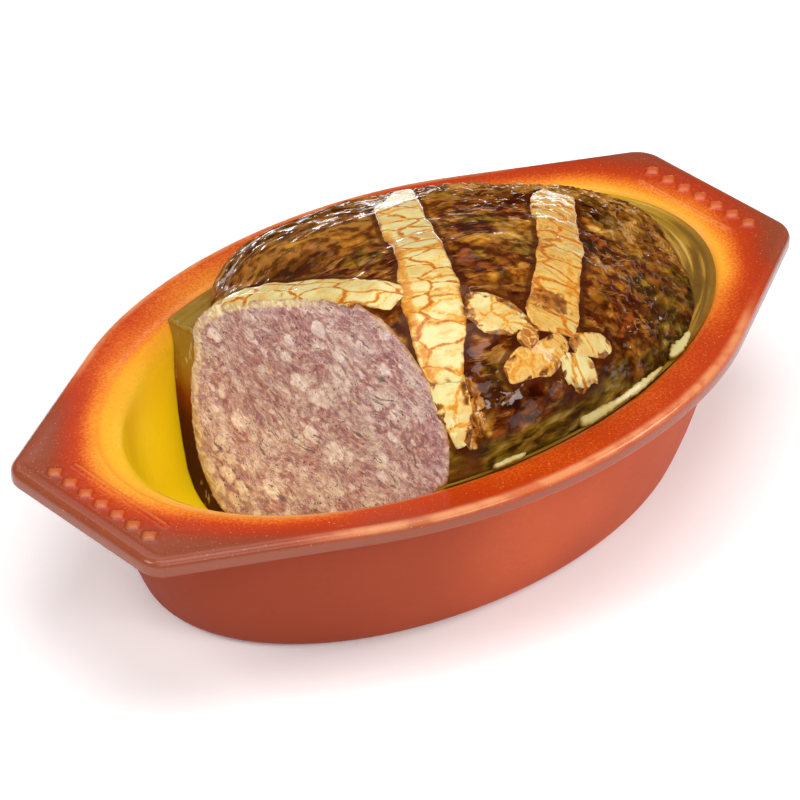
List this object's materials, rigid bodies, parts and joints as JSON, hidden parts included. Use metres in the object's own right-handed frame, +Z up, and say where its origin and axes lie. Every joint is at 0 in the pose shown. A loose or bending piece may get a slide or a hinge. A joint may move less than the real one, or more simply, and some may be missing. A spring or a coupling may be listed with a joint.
{
  "type": "rabbit terrine",
  "caption": "Coarse rabbit terrine with a domed, jelly-glazed top and strips of fat, cut across at one end and standing in its oval glazed stoneware dish with a lug at each end.",
  "frame": {"origin": "centre of the dish's flat base", "axes": "+X along the dish towards the uncut end of the terrine, +Z up"},
  "size_m": [0.3618, 0.2206, 0.13],
  "materials": {
    "glaze": "gloss glaze on stoneware, from yellow in the well through orange to brown at the lugs",
    "meat": "moist coarse forcemeat where it is cut, browned and glazed with jelly on top",
    "jelly": "clear amber set jelly, wet gloss",
    "fat": "baked pale fat under a thin jelly glaze"
  },
  "bodies": {
    "root": {"dish": "glaze", "loaf": "meat", "jelly": "jelly", "fat_strip_long": "fat", "fat_strip_wide": "fat", "fat_strip_at_cut": "fat", "fat_patch_corner": "fat", "fat_patch_middle": "fat", "fat_patch_small": "fat", "fat_patch_lip": "fat", "fat_patch_right": "fat", "fat_patch_low": "fat"}
  },
  "joints": []
}
